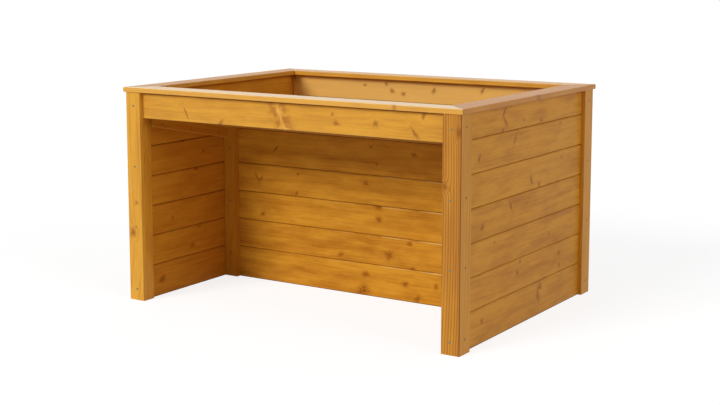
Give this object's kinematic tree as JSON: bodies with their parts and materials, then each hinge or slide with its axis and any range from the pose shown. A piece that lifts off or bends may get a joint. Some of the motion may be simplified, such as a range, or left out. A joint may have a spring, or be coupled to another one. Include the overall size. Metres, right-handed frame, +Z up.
{
  "type": "raised garden bed",
  "caption": "Timber raised garden bed with an open knee space under a sloping planting tray, a deep planting space behind an upright panel, boarded walls on corner posts and a mitred rim.",
  "frame": {"origin": "centre of the footprint, on the ground", "axes": "+X to the right seen from the open front, along the longest side; +Y from the front to the rear; +Z up"},
  "size_m": [1.5, 1.11, 0.845],
  "materials": {
    "wall_spruce": "satin honey stain over planed spruce, with knots",
    "corner_spruce": "satin honey stain, grain upright",
    "post_spruce": "satin honey stain over square-sawn spruce",
    "floor_spruce": "satin honey stain",
    "rim_spruce": "satin honey stain, slightly glossier on top",
    "screw_steel": "dull yellow-zinc countersunk heads"
  },
  "bodies": {
    "root": {"post_front_left": "post_spruce", "corner_board_front_left": "corner_spruce", "side_board_front_left": "corner_spruce", "post_front_right": "post_spruce", "corner_board_front_right": "corner_spruce", "side_board_front_right": "corner_spruce", "post_rear_left": "post_spruce", "corner_board_rear_left": "corner_spruce", "side_board_rear_left": "corner_spruce", "post_rear_right": "post_spruce", "corner_board_rear_right": "corner_spruce", "side_board_rear_right": "corner_spruce", "left_wall_board_1": "wall_spruce", "right_wall_board_1": "wall_spruce", "rear_wall_board_1": "wall_spruce", "left_wall_board_2": "wall_spruce", "right_wall_board_2": "wall_spruce", "rear_wall_board_2": "wall_spruce", "left_wall_board_3": "wall_spruce", "right_wall_board_3": "wall_spruce", "rear_wall_board_3": "wall_spruce", "left_wall_board_4": "wall_spruce", "right_wall_board_4": "wall_spruce", "rear_wall_board_4": "wall_spruce", "left_wall_board_5": "wall_spruce", "right_wall_board_5": "wall_spruce", "rear_wall_board_5": "wall_spruce", "left_wall_board_6": "wall_spruce", "right_wall_board_6": "wall_spruce", "rear_wall_board_6": "wall_spruce", "left_wall_board_7": "wall_spruce", "right_wall_board_7": "wall_spruce", "rear_wall_board_7": "wall_spruce", "panel_board_1": "wall_spruce", "panel_board_2": "wall_spruce", "panel_board_3": "wall_spruce", "panel_board_4": "wall_spruce", "panel_board_5": "wall_spruce", "front_board": "wall_spruce", "panel_batten_left": "post_spruce", "floor_bearer_left": "post_spruce", "panel_batten_right": "post_spruce", "floor_bearer_right": "post_spruce", "floor_board_1": "floor_spruce", "floor_board_2": "floor_spruce", "floor_board_3": "floor_spruce", "floor_board_4": "floor_spruce", "floor_board_5": "floor_spruce", "rim_board_front": "rim_spruce", "rim_board_rear": "rim_spruce", "rim_board_left": "rim_spruce", "rim_board_right": "rim_spruce", "corner_screws_long": "screw_steel", "corner_screws_short": "screw_steel", "batten_screws": "screw_steel", "floor_screws": "screw_steel", "bearer_screws": "screw_steel"}
  },
  "joints": []
}
